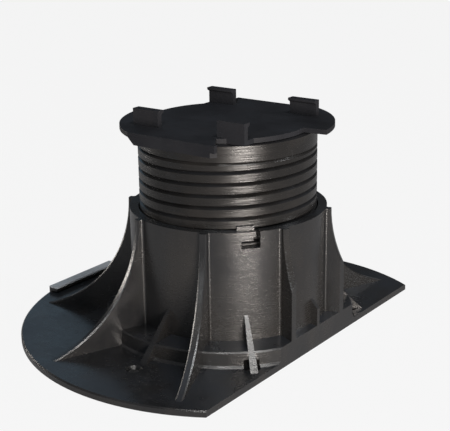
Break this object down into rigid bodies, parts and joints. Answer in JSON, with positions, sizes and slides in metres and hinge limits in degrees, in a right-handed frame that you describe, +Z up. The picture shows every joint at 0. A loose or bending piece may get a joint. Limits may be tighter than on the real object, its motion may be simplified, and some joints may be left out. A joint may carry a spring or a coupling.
{
  "type": "decking pedestal",
  "caption": "Height-adjustable black plastic decking pedestal: a gusseted flanged base, a coarse screw tube and a swivelling head with clips for a joist.",
  "frame": {"origin": "on the ground, on the screw tube's axis", "axes": "+Z up along the screw tube's axis, +X along the joist towards the flange's straight side, +Y away from the viewer"},
  "size_m": [0.1599, 0.218, 0.1178],
  "materials": {
    "base_plastic": "satin black moulded",
    "tube_plastic": "satin black moulded",
    "head_plastic": "satin black moulded"
  },
  "bodies": {
    "base": {"base": "base_plastic"},
    "head": {"joist_head": "head_plastic"},
    "tube": {"screw_tube": "tube_plastic"}
  },
  "joints": [
    {"name": "head_lift", "type": "slide", "parent": "base", "child": "head", "axis": [0, 0, 1], "range_m": [-0.0345, 0.0075]},
    {"name": "tube_turn", "type": "hinge", "parent": "head", "child": "tube", "pos_m": [0, 0, 0.07], "axis": [0, 0, 1], "range_deg": [-2178.5, 473.5]}
  ],
  "couplings": [
    {"joint": "head_lift", "follows": "tube_turn", "m_per_rad": 0.00090718}
  ]
}
